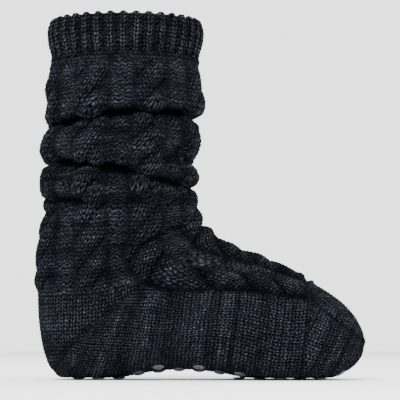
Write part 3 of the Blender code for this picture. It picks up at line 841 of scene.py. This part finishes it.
@cache
def yarn_material():
    """Marled wool yarn: loops from the knit's own map, fibres and flecks from noise."""
    look = bpy.context.scene.yarn_look
    made, tree, shader = new_material("marled_yarn")
    uv = node(tree, "ShaderNodeUVMap", uv_map="knit").outputs[0]
    split = node(tree, "ShaderNodeSeparateXYZ")
    tree.links.new(uv, split.inputs[0])
    w, c = split.outputs[0], split.outputs[1]
    purl = node(tree, "ShaderNodeAttribute", attribute_name="purl").outputs["Fac"]
    place = place_of(tree)
    jitter = calc(tree, "MULTIPLY_ADD", noise(tree, place, 300.0), 0.60, -0.30)
    w_loose, c_loose = calc(tree, "ADD", w, jitter), calc(tree, "ADD", c, jitter)
    height, edge = loop_finish(tree, w_loose, c_loose, purl, place)

    fibre = noise(tree, place, 1500.0, 3.0, 0.65)
    ply = node(tree, "ShaderNodeTexWave", wave_type="BANDS", bands_direction="DIAGONAL")
    tree.links.new(uv, ply.inputs["Vector"])
    set_values(ply, {"Scale": 0.9, "Distortion": 3.0, "Detail": 2.0})
    relief = calc(tree, "MULTIPLY_ADD", fibre, 0.55, height)
    relief = calc(tree, "MULTIPLY_ADD", ply.outputs["Fac"], 0.12, relief)
    bumped(tree, shader, relief, 1.0, look.bump)

    band = ramp(tree, noise(tree, c, 0.16, 3.0, 0.65, "1D"), 0.40, 0.60)
    colour = marl(tree, uv, place, band, look)
    loop_painted_shade = painted_loop_shade(tree, w, c, height, edge, purl, band, place)
    # Painted shade multiplied into the yarn's colour
    colour = mixed(tree, 1.0, colour, loop_painted_shade, "MULTIPLY")
    # Painted shade's navy tint, added to the whole colour
    colour = mixed(tree, 1.0, colour, tuple(look.depth), "ADD")
    tree.links.new(colour, shader.inputs["Base Color"])
    tree.links.new(calc(tree, "MULTIPLY_ADD", fibre, 0.16, 0.78), shader.inputs["Roughness"])
    set_values(shader, {
        "Specular IOR Level": 0.012, "Sheen Weight": look.sheen, "Sheen Roughness": 0.45,
        "Sheen Tint": (0.55, 0.62, 0.75, 1.0),
    })
    return made


def plush_material():
    """The soft brushed inside."""
    look = bpy.context.scene.yarn_look
    made, tree, shader = new_material("plush_inside")
    place = place_of(tree)
    tufts = node(tree, "ShaderNodeTexVoronoi", feature="F1")
    tree.links.new(place, tufts.inputs["Vector"])
    set_values(tufts, {"Scale": 300.0})
    fine = noise(tree, place, 1700.0, 3.0, 0.7)
    bumped(tree, shader, calc(tree, "MULTIPLY_ADD", fine, 0.5, tufts.outputs["Distance"]), 1.0, 0.0022)
    tone = ramp(tree, noise(tree, place, 240.0, 4.0, 0.75), 0.40, 0.62)
    colour = mixed(tree, tone, tuple(look.plush_dark), tuple(look.plush_pale))
    tree.links.new(colour, shader.inputs["Base Color"])
    tree.links.new(calc(tree, "MULTIPLY_ADD", fine, 0.12, 0.84), shader.inputs["Roughness"])
    set_values(shader, {
        "Specular IOR Level": 0.03, "Sheen Weight": 0.03, "Sheen Roughness": 0.5,
        "Sheen Tint": (0.5, 0.56, 0.68, 1.0),
    })
    return made


def fibre_material():
    """Single fibres that have worked loose, a little paler than the yarn."""
    fuzz = bpy.context.scene.fuzz
    made, tree, shader = new_material("loose_fibres")
    tone = ramp(tree, noise(tree, place_of(tree), 900.0), 0.40, 0.62)
    tree.links.new(mixed(tree, tone, tuple(fuzz.dark), tuple(fuzz.pale)), shader.inputs["Base Color"])
    set_values(shader, {"Roughness": 0.7, "Specular IOR Level": 0.1})
    return made


def silicone_material():
    """Cloudy grey silicone with a soft gloss."""
    grip = bpy.context.scene.grip
    made, tree, shader = new_material("silicone_drops")
    place = place_of(tree)
    cloud = ramp(tree, noise(tree, place, 320.0, 3.0, 0.6), 0.35, 0.65)
    tree.links.new(mixed(tree, cloud, tuple(grip.dark), tuple(grip.pale)), shader.inputs["Base Color"])
    haze = noise(tree, place, 900.0)
    tree.links.new(calc(tree, "MULTIPLY_ADD", haze, 0.16, 0.20), shader.inputs["Roughness"])
    bumped(tree, shader, noise(tree, place, 700.0, 3.0), 0.35, 0.0002)
    set_values(shader, {
        "IOR": 1.42, "Coat Weight": 0.45, "Coat Roughness": 0.12,
        "Subsurface Weight": 0.12, "Subsurface Radius": (0.002, 0.002, 0.002),
    })
    return made


class SockSizes(PropertyGroup):
    row_step: FloatProperty(
        name="Row step", description="Distance between grid rows", default=0.00078, unit="LENGTH",
    )
    wall: FloatProperty(
        name="Wall", description="Thickness of the knit at the rim", default=0.0042, unit="LENGTH",
    )
    fold_sag: FloatProperty(
        name="Fold sag", description="How far a roll hangs over, per length that it stands out", default=0.34,
    )
    stitch_rise: FloatProperty(
        name="Stitch rise", description="Height of a loop", default=0.0008, unit="LENGTH",
    )
    seam_rise: FloatProperty(
        name="Seam rise", description="Height of the toe seam's ridge", default=0.0018, unit="LENGTH",
    )


class YarnLook(PropertyGroup):
    dark: FloatVectorProperty(
        name="Dark yarn", description="Darkest fibres", default=(0.0012, 0.0017, 0.0028), subtype="COLOR",
    )
    dark_warm: FloatVectorProperty(
        name="Dark warm yarn", description="Darkest fibres in the darker bands",
        default=(0.0016, 0.0018, 0.0025), subtype="COLOR",
    )
    # Painted shade: a navy added to all of the yarn's colour, standing in for the tint of the shade between
    # the loops
    depth: FloatVectorProperty(
        name="Depth", description="Navy left between the loops",
        default=(0.00005, 0.0004, 0.0013), subtype="COLOR",
    )
    pale: FloatVectorProperty(
        name="Pale yarn", description="Palest fibres", default=(0.0171, 0.0188, 0.0213), subtype="COLOR",
    )
    pale_warm: FloatVectorProperty(
        name="Pale warm yarn", description="Palest fibres in warmer patches",
        default=(0.0187, 0.0178, 0.0229), subtype="COLOR",
    )
    plush_dark: FloatVectorProperty(
        name="Dark plush", description="Darkest fibres inside",
        default=(0.0022, 0.0027, 0.0038), subtype="COLOR",
    )
    plush_pale: FloatVectorProperty(
        name="Pale plush", description="Palest fibres inside",
        default=(0.0115, 0.0130, 0.0165), subtype="COLOR",
    )
    sheen: FloatProperty(
        name="Sheen", description="Weight of the fuzz's glow", default=0.010, subtype="FACTOR",
    )
    bump: FloatProperty(
        name="Bump", description="Depth of the loops in the finish", default=0.0009, unit="LENGTH",
    )


class Fuzz(PropertyGroup):
    count: IntProperty(name="Fibres", description="Number of loose fibres", default=40000)
    length: FloatProperty(
        name="Length", description="Length of a loose fibre", default=0.0026, unit="LENGTH",
    )
    thickness: FloatProperty(
        name="Thickness", description="Thickness of a loose fibre", default=0.00007, unit="LENGTH",
    )
    dark: FloatVectorProperty(
        name="Dark fibre", description="Darkest loose fibres",
        default=(0.0020, 0.0026, 0.0042), subtype="COLOR",
    )
    pale: FloatVectorProperty(
        name="Pale fibre", description="Palest loose fibres",
        default=(0.0300, 0.0325, 0.0400), subtype="COLOR",
    )


class Grip(PropertyGroup):
    rise: FloatProperty(
        name="Rise", description="Height of a drop", default=0.00158, unit="LENGTH",
    )
    sunk: FloatProperty(
        name="Sunk", description="How deep a drop sits in the knit", default=0.00032, unit="LENGTH",
    )
    dark: FloatVectorProperty(
        name="Dark silicone", description="Darker clouds in the silicone",
        default=(0.026, 0.030, 0.037), subtype="COLOR",
    )
    pale: FloatVectorProperty(
        name="Pale silicone", description="Paler clouds in the silicone",
        default=(0.052, 0.058, 0.068), subtype="COLOR",
    )


class SOCK_OT_cuff(Operator):
    """Knits the ribbed cuff and its rolled rim"""
    bl_idname = "sock.cuff"
    bl_label = "Cuff"

    def execute(self, context):
        obj = knit_piece("knit_cuff", RIM_RING, CUFF_START)
        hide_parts("sock_knit")
        return {"FINISHED"}


class SOCK_OT_leg(Operator):
    """Knits the cabled leg with its slouch folds"""
    bl_idname = "sock.leg"
    bl_label = "Leg"

    def execute(self, context):
        for name, first, last in LEG_PIECES:
            knit_piece(name, first, last)
        return {"FINISHED"}


class SOCK_OT_heel(Operator):
    """Knits the heel pocket, and the instep across from it"""
    bl_idname = "sock.heel"
    bl_label = "Heel"

    def execute(self, context):
        quarter = COLUMNS // 4
        back = np.arange(quarter, COLUMNS - quarter + 1)
        front = np.mod(np.arange(-quarter, quarter + 1), COLUMNS)
        knit_piece("knit_heel", ANKLE, FOOT_START, back)
        knit_piece("knit_instep", ANKLE, FOOT_START, front)
        return {"FINISHED"}


class SOCK_OT_foot(Operator):
    """Knits the foot and the toe pocket"""
    bl_idname = "sock.foot"
    bl_label = "Foot"

    def execute(self, context):
        knit_piece("knit_foot", FOOT_START, SEAM_COURSE)
        knit_piece("knit_toe", SEAM_COURSE, CAP_RING)
        return {"FINISHED"}


class SOCK_OT_lining(Operator):
    """Lines the sock with its brushed inside, down to the toe"""
    bl_idname = "sock.lining"
    bl_label = "Lining"

    def execute(self, context):
        made = skin()
        wall = context.scene.sock_sizes.wall / MM
        columns = np.arange(0, COLUMNS, LINING_SKIP)
        moved, turned, push, courses = (numbers[::LINING_SKIP] for numbers in made.form)
        inset = wall * (1.0 + PLUSH_SHARE * smooth(275.0, 262.0, courses))[:, None]
        reach = 0.9 * push[:, columns] - inset
        inside = moved[:, columns] + reach[..., None] * turned[:, columns]
        inside[..., 2] = np.maximum(inside[..., 2], INNER_SOLE)
        inside = to_frame(inside[courses > LINING_END])
        inside = np.concatenate([made.points[:1, columns], inside], axis=0)[:, ::-1]
        uv = np.zeros(inside.shape[:2] + (2,))
        mesh = sheet_mesh("lining", inside, normals_of(inside), uv, {}, True)
        yarn_piece("lining", mesh, plush_material())
        return {"FINISHED"}


class SOCK_OT_fibres(Operator):
    """Raises short loose fibres from the yarn all over the knit"""
    bl_idname = "sock.fibres"
    bl_label = "Loose fibres"

    def execute(self, context):
        fuzz = context.scene.fuzz
        rng = np.random.default_rng(23)
        root, out = fibre_roots(rng, fuzz.count)
        spin = rng.normal(size=(fuzz.count, 3))
        flat = spin - (spin * out).sum(axis=1, keepdims=True) * out
        flat /= np.linalg.norm(flat, axis=1, keepdims=True)
        across = np.cross(out, flat)
        reach = 0.5 * fuzz.length * rng.uniform(0.45, 1.25, (fuzz.count, 1))
        rise = rng.uniform(0.25, 1.0, (fuzz.count, 1))
        knee = root + reach * (out * rise + flat * 0.7)
        bend = rng.uniform(-0.6, 0.9, (fuzz.count, 1))
        tip = knee + reach * (out * rise * bend + flat + across * rng.uniform(-0.8, 0.8, (fuzz.count, 1)))
        half = 0.5 * fuzz.thickness * across
        base = root - FIBRE_SUNK * out
        ribbon = np.stack([base - half, base + half, knee + half, knee - half, tip], axis=1)
        ribbon[..., 2] = np.maximum(ribbon[..., 2], LOWEST_FIBRE)
        start = ribbon.shape[1] * np.arange(fuzz.count)[:, None]
        faces = np.concatenate([start + np.array(corners) for corners in ((0, 1, 2), (0, 2, 3), (3, 2, 4))])
        yarn_piece("loose_fibres", plain_mesh("loose_fibres", ribbon, faces), fibre_material())
        return {"FINISHED"}


def fibre_roots(rng, count):
    """Evenly strewn places on the knit clear of the floor and away from its darkest painted shade, and the
    way each faces.
    """
    made = skin()
    points, normals = made.points, made.normals
    columns = points.shape[1]
    side = np.linalg.norm(np.roll(points, -1, axis=1) - points, axis=2)[:-1]
    long = np.linalg.norm(np.diff(points, axis=0), axis=2)
    share = (side * long).reshape(-1)
    share *= (made.values["open"][:-1].reshape(-1) > 0.25) & (points[:-1, :, 2].reshape(-1) > LOWEST_ROOT)
    at = rng.choice(share.size, count, p=share / share.sum())
    i, j = at // columns, at % columns
    s, t = rng.random((2, count, 1))
    k = (j + 1) % columns
    root = (
        points[i, j] * (1 - s) * (1 - t) + points[i, k] * s * (1 - t)
        + points[i + 1, j] * (1 - s) * t + points[i + 1, k] * s * t
    )
    return root, normals[i, j]


class SOCK_OT_grips(Operator):
    """Prints the silicone drops over the CAD's grip dots"""
    bl_idname = "sock.grips"
    bl_label = "Grips"

    def execute(self, context):
        names = sorted(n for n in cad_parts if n.startswith("grip_"))
        if not names:
            raise RuntimeError("the frame has no grip dots")
        grip = context.scene.grip
        bpy.ops.object.select_all(action="DESELECT")
        bpy.ops.mesh.primitive_uv_sphere_add(segments=28, ring_count=16, radius=1.0, location=(0.0, 0.0, 0.0))
        drop = context.active_object
        drop.name = "grip_drops"
        bpy.ops.object.mode_set(mode="EDIT")
        bpy.ops.mesh.select_all(action="SELECT")
        bpy.ops.mesh.bisect(
            plane_co=(0.0, 0.0, -0.02), plane_no=(0.0, 0.0, 1.0), clear_inner=True, use_fill=True,
        )
        bpy.ops.object.mode_set(mode="OBJECT")
        shape = np.array([v.co[:] for v in drop.data.vertices])
        shape[:, 2] = np.sign(shape[:, 2]) * np.abs(shape[:, 2]) ** 1.25
        faces = [tuple(p.vertices) for p in drop.data.polygons]
        points, polygons = [], []
        for name in names:
            co = np.array([v.co[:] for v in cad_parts[name].data.vertices])
            centre, facing, radius = drop_frame(co)
            turn = np.array(Vector(facing).to_track_quat("Z", "X").to_matrix())
            placed = (shape * (radius, radius, grip.rise)) @ turn.T + centre - grip.sunk * facing
            placed[:, 2] = np.maximum(placed[:, 2], 0.0)
            start = len(points)
            points.extend(placed.tolist())
            polygons.extend([tuple(start + k for k in f) for f in faces])
        mesh = bpy.data.meshes.new("grip_drops")
        mesh.from_pydata(points, [], polygons)
        mesh.shade_smooth()
        drop.data = mesh
        mesh.materials.append(silicone_material())
        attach(drop, "root")
        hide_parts(*names)
        return {"FINISHED"}


def drop_frame(co):
    """Middle of a CAD dot's wide face, the way it faces, and its radius."""
    middle = co.mean(axis=0)
    _, _, axes = np.linalg.svd(co - middle)
    facing = axes[2]
    along = (co - middle) @ facing
    out = np.linalg.norm((co - middle) - along[:, None] * facing, axis=1)
    if along[out > 0.97 * out.max()].mean() > 0:
        facing, along = -facing, -along
    return middle + facing * along.min(), facing, out.max()


class SOCK_OT_stage(Operator):
    """Sets the floor, the soft studio light and the camera"""
    bl_idname = "sock.stage"
    bl_label = "Stage"

    def execute(self, context):
        bpy.ops.object.select_all(action="DESELECT")
        bpy.ops.mesh.primitive_plane_add(size=8.0, location=(0.0, 0.0, 0.0))
        floor = context.active_object
        floor.name = "floor"
        finish, _, shader = new_material("pale_floor")
        set_values(shader, {"Base Color": (0.80, 0.80, 0.80, 1.0), "Roughness": 0.9})
        floor.data.materials.append(finish)
        world = bpy.data.worlds.new("studio")
        context.scene.world = world
        world.use_nodes = True
        sky = world.node_tree.nodes["Background"]
        set_values(sky, {"Color": (1.0, 1.0, 1.0, 1.0), "Strength": SKY_STRENGTH})
        for name, place, power, size in LAMPS:
            light = bpy.data.lights.new(name, "AREA")
            light.energy = power
            light.size = size
            lamp = bpy.data.objects.new(name, light)
            context.scene.collection.objects.link(lamp)
            aim_from(lamp, Vector(place), Vector(LAMP_AIM))
        camera = bpy.data.cameras.new("camera")
        holder = bpy.data.objects.new("camera", camera)
        context.scene.collection.objects.link(holder)
        low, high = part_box("sock_knit")
        aim = Vector(((low.x + high.x) / 2, 0.0, 0.5 * high.z))
        aim_from(holder, Vector((aim.x, -CAMERA_AWAY, CAMERA_HEIGHT)), aim)
        camera.lens = SENSOR * CAMERA_AWAY / VIEW_WIDTH
        camera.sensor_width = SENSOR
        camera.clip_start = 0.05
        camera.clip_end = 30.0
        context.scene.camera = holder
        return {"FINISHED"}


def aim_from(obj, place, aim):
    """Puts a lamp or camera at a place and turns it towards another."""
    obj.location = place
    obj.rotation_euler = (aim - place).to_track_quat("-Z", "Y").to_euler()


class SOCK_PT_panel(Panel):
    bl_idname = "SOCK_PT_panel"
    bl_label = "Slipper sock"
    bl_space_type = "VIEW_3D"
    bl_region_type = "UI"
    bl_category = "Sock"

    def draw(self, context):
        for name, kind in GROUPS.items():
            box = self.layout.box()
            for key in kind.__annotations__:
                box.prop(getattr(context.scene, name), key)
        for kind in OPERATORS:
            self.layout.operator(kind.bl_idname)


GROUPS = {"sock_sizes": SockSizes, "yarn_look": YarnLook, "fuzz": Fuzz, "grip": Grip}
OPERATORS = (
    SOCK_OT_stage, SOCK_OT_cuff, SOCK_OT_leg, SOCK_OT_heel, SOCK_OT_foot, SOCK_OT_lining,
    SOCK_OT_fibres, SOCK_OT_grips,
)
CLASSES = tuple(GROUPS.values()) + OPERATORS + (SOCK_PT_panel,)


def register():
    for kind in CLASSES:
        bpy.utils.register_class(kind)
    for name, kind in GROUPS.items():
        setattr(bpy.types.Scene, name, PointerProperty(type=kind))


def unregister():
    for name in GROUPS:
        delattr(bpy.types.Scene, name)
    for kind in reversed(CLASSES):
        bpy.utils.unregister_class(kind)


def main():
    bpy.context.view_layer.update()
    register()
    bpy.ops.sock.stage()
    bpy.ops.sock.cuff()
    bpy.ops.sock.leg()
    bpy.ops.sock.heel()
    bpy.ops.sock.foot()
    bpy.ops.sock.lining()
    bpy.ops.sock.fibres()
    bpy.ops.sock.grips()


if __name__ == "__main__":
    main()
